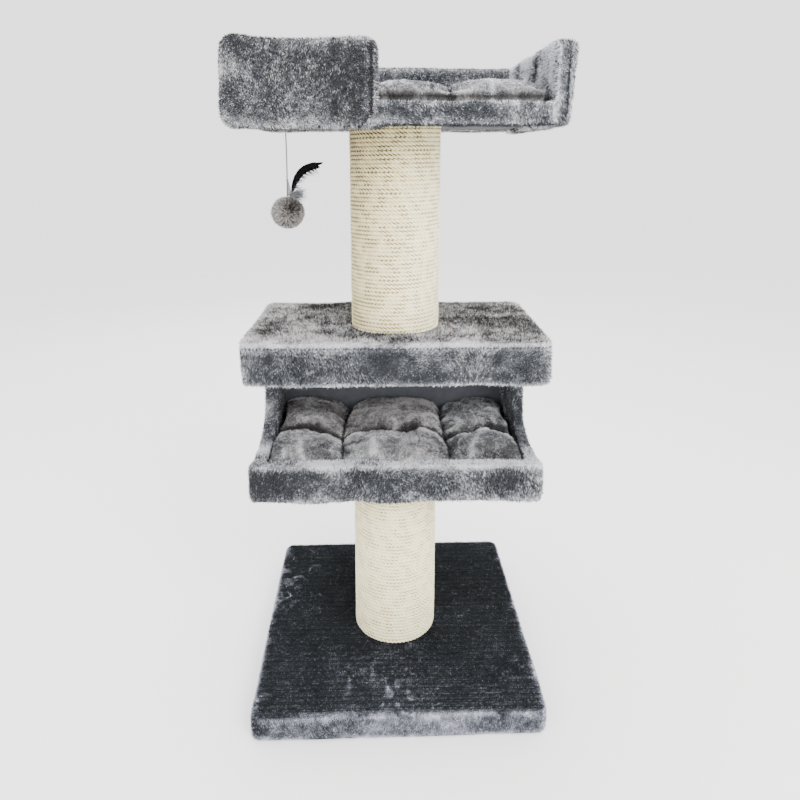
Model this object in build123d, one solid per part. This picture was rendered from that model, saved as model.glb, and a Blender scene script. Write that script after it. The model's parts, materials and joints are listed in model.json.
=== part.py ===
from build123d import *
import os
from math import pi, radians, tan

# Cat tree: a plush base, a sisal post, a half-open house with a cushion, a second sisal post,
# and a walled bed with a loose cushion and a pompom toy hanging from it.
# Millimetres, +Z up, the front faces -Y, origin on the floor under the posts' common axis.

# ---------------------------------------------------------------- driving dimensions
plush = 5.0                 # cover thickness, pile included
board = 15.0                # wall and floor boards
wall = board + 2 * plush    # a board with plush on both faces
gap = 0.4                   # air between a loose piece and its neighbours
soft_edge = 8.0             # rounding of a plush edge
board_corner = 10.0         # rounding of a board's corners under the plush
front_board_corner = 6.0    # the same on the house's low front board

base_width, base_height = 508.0, 47.0
base_front, base_back = -246.0, 258.0
base_corner = 17.0          # corner radius of the base, seen from above
hem = 60.0                  # plush turned under the base

post_radius = 80.0          # outside of the sisal winding
rope = 7.0                  # sisal rope diameter
tube_wall = 6.0
plug_thickness = 20.0

side_board = 12.0           # the house's side boards are thinner than the rest
condo_half = 252.0          # half the width across the house's side walls
condo_front_half = 256.0    # the front wall is a little wider
condo_front, condo_back = -127.0, 173.0
condo_bottom = 378.0
condo_lip = 68.0            # height of the low front and side walls
condo_floor_rise = 8.0      # floor board above the walls' lower edge
condo_jamb = 35.0           # front edge of the tall part of the side walls
condo_sweep = 74.0          # radius between the jamb and the low wall
roof_half, roof_back = 262.0, 175.0
roof_bottom, roof_top = 591.0, 668.0
roof_hem = 28.0

bed_half = 257.0
bed_front, bed_back = -181.0, 222.0
bed_bottom, bed_top = 1016.0, 1142.0
bed_floor_rise = 7.0
bed_wall_bottom = 1020.0    # lower edge of the left and back walls
bed_panel_end = -29.0       # free end of the tall front panel
bed_panel_bottom = 1013.0   # the front panel hangs a little lower than the other walls
bed_lip_top = 1051.0
bed_top_padding = 4.0       # extra padding along the top of the bed's tall walls
bed_cushion_height = 57.0

floor_plush = 4.0           # thin plush glued on the two floors
pad_play = 4.0              # between a cushion and the walls round it
bed_cushion_edge = 22.0     # rounding of the bed's cushion
bolt_radius, bolt_head_radius, bolt_head_height = 4.0, 8.0, 5.0
washer_radius, washer_thickness = 14.0, 2.0
pocket_radius, pocket_depth = 18.0, 9.0
nut_barrel_radius, nut_barrel, nut_flange_radius, nut_flange = 6.0, 12.0, 11.0, 1.5
clearance = 0.1             # round a bolt, a plug or a screw
screw_radius, screw_head_radius, screw_head, screw_length = 1.8, 3.6, 2.4, 35.0

toy_x, toy_y = -166.0, -168.0
toy_knot_drop = 4.6         # from the front panel's lower edge to the knot's centre
knot_radius = 2.6
cord_diameter = 2.0
cord_end_drop = 94.0        # from the knot's centre to the top of the pompom
cord_sunk = 2.0             # end of the cord inside the pompom
cord_sway = 0.7             # sideways bow of the hanging cord
ball_offset = -1.0          # the pompom hangs this far beside the knot
ball_radius = 26.0
fluff_offset, fluff_radius = 17.0, 7.0
tag_width, tag_height, tag_thickness = 4.5, 25.0, 0.8
staple_wire, staple_width, staple_leg = 0.7, 10.0, 12.0

# ---------------------------------------------------------------- worked out from those
base_board_thickness = (base_height - 2 * plush) / 2
condo_lip_top = condo_bottom + condo_lip
condo_floor = condo_bottom + condo_floor_rise
condo_inner = condo_half - plush - side_board   # inner face of the side boards
roof_board_bottom = roof_top - plush - board
bed_floor = bed_bottom + bed_floor_rise
bed_inner = bed_half - plush - board            # inner face of the side boards
panel_y = bed_front + plush                     # front face of the bed's front boards
tube_radius = post_radius - rope
bore_radius = tube_radius - tube_wall
toy_knot_z = bed_panel_bottom - toy_knot_drop
up, down = 1, -1


def block(x0, x1, y0, y1, z0, z1):
    """A rectangular solid between two opposite corners."""
    return Pos((x0 + x1) / 2, (y0 + y1) / 2, (z0 + z1) / 2) * Box(x1 - x0, y1 - y0, z1 - z0)


def soft_block(x0, x1, y0, y1, z0, z1, radius=soft_edge):
    """A rectangular solid with every edge rounded."""
    solid = block(x0, x1, y0, y1, z0, z1)
    return fillet(solid.edges(), radius)


def disc(radius, z0, z1, x=0.0, y=0.0):
    """An upright cylinder from z0 to z1."""
    return Pos(x, y, (z0 + z1) / 2) * Cylinder(radius, z1 - z0)


def ring(outer, inner, z0, z1):
    """An upright tube from z0 to z1."""
    return disc(outer, z0, z1) - disc(inner, z0 - 1, z1 + 1)


def round_front_corners(solid, radius):
    """Round a block's two upright edges that face the front."""
    return fillet(solid.edges().filter_by(Axis.Z).sort_by(Axis.Y)[:2], radius)


def save(name, *solids):
    """Write one node; several separate solids go in as one group."""
    shape = solids[0] if len(solids) == 1 else Compound(children=list(solids))
    export_step(shape, f"parts/{name}.step")


def cut(solid, tools):
    """Take every tool away from the solid."""
    for tool in tools:
        solid = solid - tool
    return solid


# ---------------------------------------------------------------- wood screws
def screw(point, direction, grow=0.0):
    """A wood screw whose head is flush with the board's face at the point."""
    shank = Pos(0, 0, screw_length / 2) * Cylinder(screw_radius + grow, screw_length)
    head = Pos(0, 0, screw_head / 2) * Cone(screw_head_radius + grow, screw_radius + grow, screw_head)
    return Plane(origin=point, z_dir=direction) * (shank + head)


def fasten(places):
    """The screws at these places, and the slightly larger holes that they need."""
    return [screw(*place) for place in places], [screw(*place, grow=clearance) for place in places]


# ---------------------------------------------------------------- post hardware
def post_joint(face, board_thickness, into):
    """Bolt, washer and tee nut that hold a post's end on a board.

    face is the height of the board's far face, where the washer bears. into is the direction
    from there towards the post, and board_thickness is all that the bolt crosses on the way.
    """
    def span(radius, a, b):
        low, high = sorted((face + into * a, face + into * b))
        return disc(radius, low, high)
    nut_end = board_thickness + plug_thickness
    shank = span(bolt_radius, -washer_thickness, nut_end + nut_flange + 4)
    head = span(bolt_head_radius, -washer_thickness - bolt_head_height, -washer_thickness)
    socket = Pos(0, 0, face - into * (washer_thickness + bolt_head_height - 1.2)) * extrude(
        RegularPolygon(3.2, 6), 2.4, both=True)
    bolt = shank + head - socket
    hole_radius = bolt_radius + clearance
    washer = span(washer_radius, -washer_thickness, 0) - span(hole_radius, -washer_thickness - 1, 1)
    nut = span(nut_barrel_radius, nut_end - nut_barrel, nut_end)
    nut = nut + span(nut_flange_radius, nut_end, nut_end + nut_flange)
    nut = nut - span(hole_radius, nut_end - nut_barrel - 1, nut_end + nut_flange + 1)
    return bolt, washer, nut


def post_plug(z0, z1, nut_side):
    """A wooden disc in a tube's end, bored for the bolt and, from its inner side, for the nut."""
    plug = disc(bore_radius - clearance, z0, z1) - disc(bolt_radius + 1, z0 - 1, z1 + 1)
    if nut_side == up:
        return plug - disc(nut_barrel_radius + clearance, z1 - nut_barrel - clearance, z1 + 1)
    return plug - disc(nut_barrel_radius + clearance, z0 - 1, z0 + nut_barrel + clearance)


def post(name, z0, z1):
    """Cardboard tube, rope winding and the two end plugs of one post."""
    save(f"{name}_tube", ring(tube_radius, bore_radius, z0, z1))
    save(f"{name}_rope", ring(post_radius, tube_radius, z0, z1))
    save(f"{name}_bottom_plug", post_plug(z0, z0 + plug_thickness, up))
    save(f"{name}_top_plug", post_plug(z1 - plug_thickness, z1, down))


# ---------------------------------------------------------------- base
def make_base():
    half = base_width / 2
    middle = plush + base_board_thickness
    top = base_height - plush

    def panel(z0, z1):
        solid = block(plush - half, half - plush, base_front + plush, base_back - plush, z0, z1)
        return fillet(solid.edges().filter_by(Axis.Z), base_corner - plush)

    through = disc(bolt_radius + 1, -1, base_height + 1)
    pocket = disc(pocket_radius, 0, plush + pocket_depth)
    places = [((sx * (half - 90), y, top), (0, 0, -1))
              for sx in (-1, 1) for y in (base_front + 90, base_back - 90)]
    screws, holes = fasten(places)
    save("base_board", cut(panel(middle, top), [through] + holes))
    save("base_lower_board", cut(panel(plush, middle), [through, pocket] + holes))
    save("base_screws", *screws)

    outer = block(-half, half, base_front, base_back, 0, base_height)
    outer = fillet(outer.edges().filter_by(Axis.Z), base_corner)
    outer = fillet(outer.edges().group_by(Axis.Z)[-1], soft_edge)
    outer = fillet(outer.edges().group_by(Axis.Z)[0], plush - 1)
    window = block(hem - half, half - hem, base_front + hem, base_back - hem, -1, plush + 1)
    save("base_cover", cut(outer, [panel(plush, top), window, through]))


# ---------------------------------------------------------------- house
def condo_window(inset):
    """The open front part of the side walls, as a cutter; inset makes it smaller for the plush."""
    low, high = condo_lip_top + inset, roof_bottom - inset
    cutter = block(-400, 400, condo_front - 50, condo_jamb - inset, low, high)
    lower_rear = cutter.edges().filter_by(Axis.X).sort_by(Axis.Z)[:2].sort_by(Axis.Y)[-1]
    return fillet(lower_rear, condo_sweep - inset)


def make_condo():
    outside, front_outside, roof_outside = condo_half - plush, condo_front_half - plush, roof_half - plush
    front0, front1 = condo_front + plush, condo_front + plush + board
    back0, back1 = condo_back - plush - board, condo_back - plush
    low, lip = condo_bottom + plush, condo_lip_top - plush
    floor_top = condo_floor + board

    window = condo_window(-plush)
    arm_window = block(-400, 400, condo_front - 50, condo_jamb + plush, roof_bottom - 30, roof_bottom + plush)
    side = block(condo_inner, outside, front1, back1, low, roof_board_bottom) - window - arm_window
    sides = {"right": side, "left": mirror(side, about=Plane.YZ)}
    front = block(-front_outside, front_outside, front0, front1, low, lip)
    front = round_front_corners(front, front_board_corner)
    back = block(-condo_inner, condo_inner, back0, back1, low, roof_board_bottom)
    floor = block(-condo_inner, condo_inner, front1, back0, condo_floor, floor_top)
    roof_rail = block(-roof_outside, roof_outside, front0, front1, roof_bottom + plush, roof_board_bottom)
    roof_rail = round_front_corners(roof_rail, board_corner)
    roof = block(-roof_outside, roof_outside, front0, back1, roof_board_bottom, roof_board_bottom + board)
    roof = round_front_corners(roof, board_corner)

    mid_floor = condo_floor + board / 2
    floor_screws_x, floor_screws_y = (-150, 0, 150), (-60, 20, 100)
    low_places = [((sx * outside, y, mid_floor), (-sx, 0, 0)) for sx in (-1, 1) for y in floor_screws_y]
    low_places += [((x, front0, mid_floor), (0, 1, 0)) for x in floor_screws_x]
    low_places += [((x, back1, mid_floor), (0, -1, 0)) for x in floor_screws_x]
    screws, holes = fasten(low_places)
    roof_top_face = roof_board_bottom + board
    side_middle = (condo_inner + outside) / 2
    roof_screws_x, roof_screws_y = (-170, 0, 170), (-70, 30, 130)
    roof_places = [((sx * side_middle, y, roof_top_face), (0, 0, -1))
                   for sx in (-1, 1) for y in roof_screws_y]
    roof_places += [((x, (front0 + front1) / 2, roof_top_face), (0, 0, -1)) for x in roof_screws_x]
    roof_places += [((x, (back0 + back1) / 2, roof_top_face), (0, 0, -1)) for x in roof_screws_x]
    roof_screws, roof_holes = fasten(roof_places)

    floor_bolt = disc(bolt_radius + 1, condo_floor - 1, floor_top + 1)
    pocket = disc(pocket_radius, floor_top - pocket_depth, floor_top + 1)
    roof_bolt = disc(bolt_radius + 1, roof_board_bottom - 1, roof_top + 1)
    save("condo_floor_board", cut(floor, holes + [floor_bolt, pocket]))
    save("condo_front_board", cut(front, holes))
    save("condo_back_board", cut(back, holes + roof_holes))
    for name, solid in sides.items():
        save(f"condo_{name}_board", cut(solid, holes + roof_holes))
    save("condo_screws", *screws)
    save("roof_front_rail", cut(roof_rail, roof_holes))
    save("roof_board", cut(roof, roof_holes + [roof_bolt]))
    save("roof_screws", *roof_screws)

    boards = [floor, front, back, roof_rail, roof] + list(sides.values())
    front_skin = soft_block(-condo_front_half, condo_front_half, condo_front, condo_front + wall,
                            condo_bottom, condo_lip_top)
    save("condo_front_cover", cut(front_skin, boards))
    side_skin = block(condo_inner - plush, condo_half, condo_front + wall, condo_back,
                      condo_bottom, roof_bottom) - condo_window(0)
    outer_rim = side_skin.edges().filter_by(lambda e: abs(e.center().X - condo_half) < 0.01)
    front_rim = outer_rim.filter_by(lambda e: e.center().Y < condo_jamb + 1
                                    and condo_bottom + 1 < e.center().Z < roof_bottom - 1
                                    and e.center().Y > condo_front + wall + 1)
    side_skin = fillet(front_rim, plush - 1)
    side_skin = cut(side_skin, [sides["right"], floor, back])
    save("condo_right_cover", side_skin)
    save("condo_left_cover", mirror(side_skin, about=Plane.YZ))
    save("condo_back_cover", block(-condo_inner, condo_inner, back1, condo_back, condo_bottom, roof_bottom)
         - side_skin - mirror(side_skin, about=Plane.YZ))
    save("condo_floor_cover", block(plush - condo_inner, condo_inner - plush, condo_front + wall, back0,
                                    floor_top, floor_top + floor_plush)
         - disc(pocket_radius, floor_top - 1, floor_top + floor_plush + 1))

    roof_skin = soft_block(-roof_half, roof_half, condo_front, roof_back, roof_bottom, roof_top)
    hollow = block(roof_hem - roof_half, roof_half - roof_hem, condo_front + roof_hem, roof_back - roof_hem,
                   roof_bottom - 1, roof_top - plush)
    above_hem = block(-roof_outside, roof_outside, front0, back1, roof_bottom + plush, roof_top - plush)
    above_hem = round_front_corners(above_hem, board_corner)
    roof_skin = cut(roof_skin, [hollow, above_hem, roof_bolt] + list(sides.values()) + [back])
    save("roof_cover", roof_skin)


def make_condo_cushion():
    """A stuffed pad, thicker towards the back wall."""
    front, back = condo_front + wall + pad_play, condo_back - plush - board - pad_play
    low = condo_floor + board + floor_plush + gap
    edge, front_row, middle, crest, back_edge = 34, 59, 77, 81, 68      # heights along the pad
    outline = Polyline((front, low), (back, low), (back, low + back_edge), (back - 36, low + crest),
                       (back - 106, low + middle), (front + 58, low + front_row), (front, low + edge),
                       close=True)
    half = condo_inner - plush - pad_play
    solid = extrude(Plane.YZ * make_face(outline), half, both=True)
    save("condo_cushion", fillet(solid.edges(), soft_edge))


# ---------------------------------------------------------------- bed
def staple_legs(grow=0.0):
    """The two legs of the staple that holds the toy, from its crown up into the panel."""
    crown_z = bed_panel_bottom - staple_wire
    return [disc(staple_wire + grow, crown_z, crown_z + staple_leg + grow, toy_x + side, toy_y)
            for side in (staple_wire - staple_width / 2, staple_width / 2 - staple_wire)]


def make_bed():
    outside = bed_half - plush
    front0, front1 = panel_y, panel_y + board
    back0, back1 = bed_back - plush - board, bed_back - plush
    low, wall_low = bed_bottom + plush, bed_wall_bottom + plush
    high = bed_top - plush - bed_top_padding
    floor_top = bed_floor + board
    panel_end = bed_panel_end - plush

    boards = {
        "right": block(bed_inner, outside, front0, back1, low, high),
        "left": block(-outside, -bed_inner, front1, back1, wall_low, high),
        "back": block(-bed_inner, bed_inner, back0, back1, wall_low, high),
        "front_panel": block(-outside, panel_end, front0, front1, bed_panel_bottom + plush, high),
        "front_lip": block(panel_end, bed_inner, front0, front1, low, bed_lip_top - plush),
    }
    ends = boards["right"].edges().filter_by(Axis.X).sort_by(Axis.Y)[:2]
    boards["right"] = fillet(ends, board_corner)
    panel_edges = boards["front_panel"].edges().filter_by(Axis.Y)
    shared = panel_edges.sort_by(Axis.Z)[:2].sort_by(Axis.X)[-1]     # against the low board's end
    boards["front_panel"] = fillet([e for e in panel_edges if e is not shared], board_corner)
    floor = block(-bed_inner, bed_inner, front1, back0, bed_floor, floor_top)
    middle = bed_floor + board / 2
    side_screws_y, front_screws_x, back_screws_x = (-110, 20, 150), (-190, -80, 80, 180), (-180, 0, 180)
    places = [((sx * outside, y, middle), (-sx, 0, 0)) for sx in (-1, 1) for y in side_screws_y]
    places += [((x, front0, middle), (0, 1, 0)) for x in front_screws_x]
    places += [((x, back1, middle), (0, -1, 0)) for x in back_screws_x]
    screws, holes = fasten(places)
    bolt_hole = disc(bolt_radius + 1, bed_floor - 1, floor_top + 1)
    pocket = disc(pocket_radius, floor_top - pocket_depth, floor_top + 1)
    save("bed_floor_board", cut(floor, holes + [bolt_hole, pocket]))
    save("bed_screws", *screws)
    leg_holes = staple_legs(clearance)
    for name, solid in boards.items():
        save(f"bed_{name}_board", cut(solid, holes + leg_holes))

    inner = bed_half - wall
    inner_front, inner_back = bed_front + wall, bed_back - wall
    skins = {
        "right": (inner, bed_half, bed_front, bed_back, bed_bottom, bed_top),
        "left": (-bed_half, -inner, inner_front, bed_back, bed_wall_bottom, bed_top),
        "back": (-inner, inner, inner_back, bed_back, bed_wall_bottom, bed_top),
        "front_panel": (-bed_half, bed_panel_end, bed_front, inner_front, bed_panel_bottom, bed_top),
        "front_lip": (bed_panel_end, inner, bed_front, inner_front, bed_bottom, bed_lip_top),
    }
    for name, corners in skins.items():
        save(f"bed_{name}_cover", cut(soft_block(*corners), list(boards.values()) + [floor] + leg_holes))
    save("bed_floor_cover", block(-inner, inner, inner_front, inner_back, floor_top, floor_top + floor_plush)
         - disc(pocket_radius, floor_top - 1, floor_top + floor_plush + 1))
    cushion_low = floor_top + floor_plush + gap
    half = inner - pad_play
    save("bed_cushion", soft_block(-half, half, inner_front + pad_play, inner_back - pad_play,
                                   cushion_low, cushion_low + bed_cushion_height, bed_cushion_edge))


# ---------------------------------------------------------------- toy
def make_cord(route):
    """A round cord along straight runs joined by tangent arcs, with each arc's radius printed."""
    points = [Vector(*p) for p in route]
    radii = []
    for before, corner, after in zip(points, points[1:], points[2:]):
        arriving, leaving = corner - before, after - corner
        turn = arriving.get_angle(leaving)
        shorter = min(arriving.length, leaving.length)
        radii.append(0.45 * shorter / tan(radians(turn) / 2))
    print("cord radii", [round(r, 1) for r in radii])
    path = FilletPolyline(*points, radius=radii)
    section = Plane(origin=path @ 0, z_dir=path % 0) * Circle(cord_diameter / 2)
    solid = sweep(section, path=path)
    print("cord length", round(path.length, 2), "volume over section",
          round(solid.volume / (pi * (cord_diameter / 2) ** 2), 2))
    return solid


def make_toy():
    x, y, z = toy_x, toy_y, toy_knot_z
    crown = Pos(x, y, bed_panel_bottom - staple_wire) * Rot(0, 90, 0) * Cylinder(staple_wire, staple_width)
    legs = staple_legs()
    save("toy_staple", crown + legs[0] + legs[1])
    save("toy_knot", Pos(x, y, z) * Sphere(knot_radius))

    top = z - knot_radius - 0.3
    ball_top = z - cord_end_drop
    cord_end = ball_top - cord_sunk
    ball_x = x + ball_offset
    route = [(x, y, top), (x + cord_sway, y, (top + cord_end) / 2), (ball_x, y, cord_end)]
    save("toy_cord", make_cord(route))
    save("toy_ball", Pos(ball_x, y, ball_top - ball_radius) * Sphere(ball_radius))
    save("toy_tag", block(ball_x, ball_x + tag_width, y - tag_thickness / 2, y + tag_thickness / 2,
                          ball_top - 1, ball_top - 1 + tag_height))

    # quill in the pompom, then the curved vane that ends in a point to the right
    vane = [(7.0, -5.0), (7.5, 18.0), (14.0, 36.0), (26.0, 45.0), (57.0, 49.0), (36.0, 30.0), (19.0, 10.0),
            (11.0, -5.0)]
    outline = Polyline(*[(ball_x + dx, ball_top + dz) for dx, dz in vane], close=True)
    save("toy_feather", extrude(Plane.XZ * make_face(outline), 0.6, both=True).moved(Location((0, y, 0))))
    save("toy_fluff", Pos(ball_x + fluff_offset, y, ball_top) * Sphere(fluff_radius))


# ---------------------------------------------------------------- whole object
os.makedirs("parts", exist_ok=True)
make_base()
post("lower_post", base_height, condo_floor)
post("upper_post", roof_top, bed_floor)
joints = [
    post_joint(plush + pocket_depth, base_height - plush - pocket_depth, up),
    post_joint(condo_floor + board - pocket_depth, board - pocket_depth, down),
    post_joint(roof_board_bottom, board + plush, up),
    post_joint(bed_floor + board - pocket_depth, board - pocket_depth, down),
]
save("post_bolts", *[j[0] for j in joints])
save("post_washers", *[j[1] for j in joints])
save("post_tee_nuts", *[j[2] for j in joints])
make_condo()
make_condo_cushion()
make_bed()
make_toy()
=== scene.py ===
import json
import math

import bmesh
import bpy
import numpy as np
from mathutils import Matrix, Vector

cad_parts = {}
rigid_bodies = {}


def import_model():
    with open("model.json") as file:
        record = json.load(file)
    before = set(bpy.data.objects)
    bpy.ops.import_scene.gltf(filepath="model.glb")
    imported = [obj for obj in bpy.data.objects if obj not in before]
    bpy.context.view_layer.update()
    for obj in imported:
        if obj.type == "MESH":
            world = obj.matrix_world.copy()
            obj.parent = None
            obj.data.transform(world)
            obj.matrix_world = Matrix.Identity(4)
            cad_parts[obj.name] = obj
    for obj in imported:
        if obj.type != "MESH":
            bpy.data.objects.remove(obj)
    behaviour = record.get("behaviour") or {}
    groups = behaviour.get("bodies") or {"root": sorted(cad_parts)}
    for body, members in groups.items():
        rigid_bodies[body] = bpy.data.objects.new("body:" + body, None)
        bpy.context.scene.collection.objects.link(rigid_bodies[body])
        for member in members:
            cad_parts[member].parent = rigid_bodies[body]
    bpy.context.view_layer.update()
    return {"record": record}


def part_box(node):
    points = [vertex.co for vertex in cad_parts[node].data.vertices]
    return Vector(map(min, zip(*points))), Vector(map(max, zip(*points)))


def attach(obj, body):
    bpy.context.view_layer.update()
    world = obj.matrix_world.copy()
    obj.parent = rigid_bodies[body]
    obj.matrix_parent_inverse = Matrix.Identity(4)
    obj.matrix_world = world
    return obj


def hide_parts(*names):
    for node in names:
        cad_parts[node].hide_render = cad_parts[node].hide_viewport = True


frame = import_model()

mm = 0.001
scene = bpy.context.scene


# ---------------------------------------------------------------- camera, lights, floor
def make_camera():
    """The main viewpoint: its distance, eye height, tilt and framing."""
    distance, height, tilt, turn = 1.171, 0.9765, 0.2213, 0.021
    data = bpy.data.cameras.new("camera")
    data.sensor_width = 36.0
    data.lens = 29.36
    data.shift_x, data.shift_y = 0.0062, -0.125
    camera = bpy.data.objects.new("camera", data)
    scene.collection.objects.link(camera)
    camera.location = (-distance * math.sin(turn), -distance * math.cos(turn), height)
    camera.rotation_euler = (math.pi / 2 - tilt, 0, -turn)
    scene.camera = camera


def area_light(name, place, target, size, power, colour=(1, 1, 1)):
    data = bpy.data.lights.new(name, "AREA")
    data.shape, data.size = "DISK", size
    data.energy, data.color = power, colour
    lamp = bpy.data.objects.new(name, data)
    scene.collection.objects.link(lamp)
    lamp.location = place
    lamp.rotation_euler = (Vector(target) - Vector(place)).to_track_quat("-Z", "Y").to_euler()


def make_lights():
    middle = (0, 0, 0.6)
    area_light("key", (1.3, -2.1, 2.1), middle, 1.7, 105, (1.0, 0.985, 0.96))
    area_light("fill", (-2.0, -1.6, 1.2), middle, 2.2, 12, (0.94, 0.97, 1.0))
    area_light("top", (-0.2, 0.2, 3.0), middle, 1.6, 55)
    area_light("back", (-0.6, 2.2, 2.0), middle, 2.0, 30)
    world = bpy.data.worlds.new("studio")
    scene.world = world
    world.use_nodes = True
    set_inputs(world.node_tree.nodes["Background"], {"Color": (1, 1, 1, 1), "Strength": 2.3})


def make_floor():
    bpy.ops.mesh.primitive_plane_add(size=14, location=(0, 2, -0.0006))
    floor = bpy.context.object
    floor.name = "floor"
    material = bpy.data.materials.new("floor")
    material.use_nodes = True
    shader = material.node_tree.nodes["Principled BSDF"]
    set_inputs(shader, {"Base Color": (0.98, 0.98, 0.98, 1), "Roughness": 0.9})
    floor.data.materials.append(material)


# ---------------------------------------------------------------- numbers and random fields
def unit(values):
    """Values held between 0 and 1."""
    return np.clip(values, 0, 1)


def line_at(values, place, width):
    """1 on a line, falling to 0 within about its width."""
    return np.exp(-((values - place) / width) ** 2)


def falling(values, place, width):
    """A soft step, 1 below the place and 0 above it."""
    return 1 / (1 + np.exp((values - place) / width))


def rising(values, place, width):
    """A soft step, 0 below the place and 1 above it."""
    return falling(place, values, width)


def stacked(*values):
    """Points or directions from the lists of their x, y and z."""
    return np.stack(values, axis=1)


def normalised(vectors):
    return vectors / np.linalg.norm(vectors, axis=1, keepdims=True)


class Field:
    """A smooth random field from -1 to 1, the same on every run."""

    def __init__(self, seed):
        self.lattice = np.random.default_rng(seed).uniform(-1, 1, (24, 24, 24))

    def __call__(self, points, size, stretch=(1, 1, 1)):
        q = points / (size * np.asarray(stretch, float))
        cell = np.floor(q).astype(int)
        t = q - cell
        t = t * t * (3 - 2 * t)
        n = len(self.lattice)
        total = np.zeros(len(q))
        for corner in np.ndindex(2, 2, 2):
            i, j, k = (cell + corner).T % n
            share = np.prod(np.where(corner, t, 1 - t), axis=1)
            total += share * self.lattice[i, j, k]
        return total * 1.6


field = Field(11)
other_field = Field(29)


# ---------------------------------------------------------------- meshes
def add_object(name, mesh, body):
    obj = bpy.data.objects.new(name, mesh)
    scene.collection.objects.link(obj)
    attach(obj, body)
    return obj


def add_box(bm, lo, hi, corner=0.0, along=2):
    """A box, with the edges along one axis rounded to the corner radius."""
    made = bmesh.ops.create_cube(bm, size=1.0)
    lo, hi = Vector(lo), Vector(hi)
    middle, size = (lo + hi) / 2, hi - lo
    for vert in made["verts"]:
        vert.co = middle + Vector((vert.co.x * size.x, vert.co.y * size.y, vert.co.z * size.z))
    if corner:
        edges = {e for v in made["verts"] for e in v.link_edges}
        chosen = [e for e in edges if abs(e.verts[0].co[along] - e.verts[1].co[along]) > 1e-6]
        bmesh.ops.bevel(bm, geom=chosen, offset=corner, segments=5, affect="EDGES", profile=0.5)


def add_prism(bm, outline, x0, x1):
    """A flat shape in the YZ plane, pulled along X."""
    rings = [[bm.verts.new((x, y, z)) for y, z in outline] for x in (x0, x1)]
    bm.faces.new(rings[0])
    bm.faces.new(list(reversed(rings[1])))
    count = len(outline)
    for i in range(count):
        j = (i + 1) % count
        bm.faces.new((rings[0][j], rings[0][i], rings[1][i], rings[1][j]))


def baked(obj):
    """The object's mesh with its modifiers applied; the object itself goes."""
    graph = bpy.context.evaluated_depsgraph_get()
    result = bpy.data.meshes.new_from_object(obj.evaluated_get(graph))
    bpy.data.objects.remove(obj)
    return result


def evaluated(mesh, *modifiers):
    """The mesh after these modifiers, each given as a type and its settings."""
    obj = bpy.data.objects.new("making", mesh)
    scene.collection.objects.link(obj)
    for kind, settings in modifiers:
        modifier = obj.modifiers.new(kind, kind)
        for key, value in settings.items():
            setattr(modifier, key, value)
    return baked(obj)


def arrays(mesh):
    """The mesh's points and normals."""
    points = np.empty(len(mesh.vertices) * 3)
    mesh.vertices.foreach_get("co", points)
    normals = np.empty(len(mesh.vertices) * 3)
    mesh.vertex_normals.foreach_get("vector", normals)
    return points.reshape(-1, 3), normals.reshape(-1, 3)


def store(mesh, name, values):
    attribute = mesh.attributes.new(name, "FLOAT", "POINT")
    attribute.data.foreach_set("value", np.asarray(values, np.float32))


def smooth_shade(mesh):
    mesh.polygons.foreach_set("use_smooth", np.ones(len(mesh.polygons), bool))


# ---------------------------------------------------------------- plush
def soft_skin(bm, voxel, soften):
    """One even, rounded mesh round everything in bm."""
    mesh = bpy.data.meshes.new("skin")
    bm.to_mesh(mesh)
    bm.free()
    return evaluated(
        mesh,
        ("REMESH", {"mode": "VOXEL", "voxel_size": voxel}),
        ("SMOOTH", {"factor": 0.5, "iterations": soften}),
    )


def add_skin(name, mesh, body, slot, nap):
    """The skin as a piece in its slot's material, with its nap values stored for it."""
    store(mesh, "nap", unit(nap))
    smooth_shade(mesh)
    mesh.materials.clear()
    mesh.materials.append(materials[slot])
    return add_object(name, mesh, body)


def plush(name, bm, replaced, nap, slot="plush", voxel=3 * mm, soften=10, relief=1.0, warp=None, inset=0.0,
          pile=None):
    """A plush-covered shape: slack cloth under a layer of pile.

    nap(points, normals) gives each point's colour value from 0, dark, to 1, light. warp(points)
    reshapes the skin, and inset pulls it in to leave room for the pile. pile is the settings of
    add_pile, or None for bare cloth.
    """
    mesh = soft_skin(bm, voxel, soften)
    points, normals = arrays(mesh)
    height = 1.3 * mm * field(points, 0.075) + 0.5 * mm * other_field(points, 0.016)
    points += normals * (height * relief - inset)[:, None]
    if warp:
        points = warp(points)
    mesh.vertices.foreach_set("co", points.ravel())
    mesh.update()
    obj = add_skin(name, mesh, "tree", slot, nap(points, normals))
    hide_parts(*replaced)
    if pile:
        add_pile(obj, "tree", slot, nap, **pile)


def scatter(mesh, spacing, seed):
    """Random points spread evenly over the mesh, with the surface's normal at each."""
    mesh.calc_loop_triangles()
    corners = np.empty(len(mesh.loop_triangles) * 3, int)
    mesh.loop_triangles.foreach_get("vertices", corners)
    corners = corners.reshape(-1, 3)
    points, normals = arrays(mesh)
    a, b, c = (points[corners[:, k]] for k in range(3))
    area = np.linalg.norm(np.cross(b - a, c - a), axis=1) / 2
    random = np.random.default_rng(seed)
    count = int(area.sum() / spacing ** 2)
    reached = (np.arange(count) + random.random(count)) / count * area.sum()
    chosen = np.minimum(np.searchsorted(np.cumsum(area), reached), len(corners) - 1)
    u, v = random.random(count), random.random(count)
    folded = u + v > 1
    u[folded], v[folded] = 1 - u[folded], 1 - v[folded]
    weights = stacked(1 - u - v, u, v)[:, :, None]
    places = (points[corners[chosen]] * weights).sum(axis=1)
    facing = normalised((normals[corners[chosen]] * weights).sum(axis=1))
    return places, facing, random


tufts_in_a_piece = 48000


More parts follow.
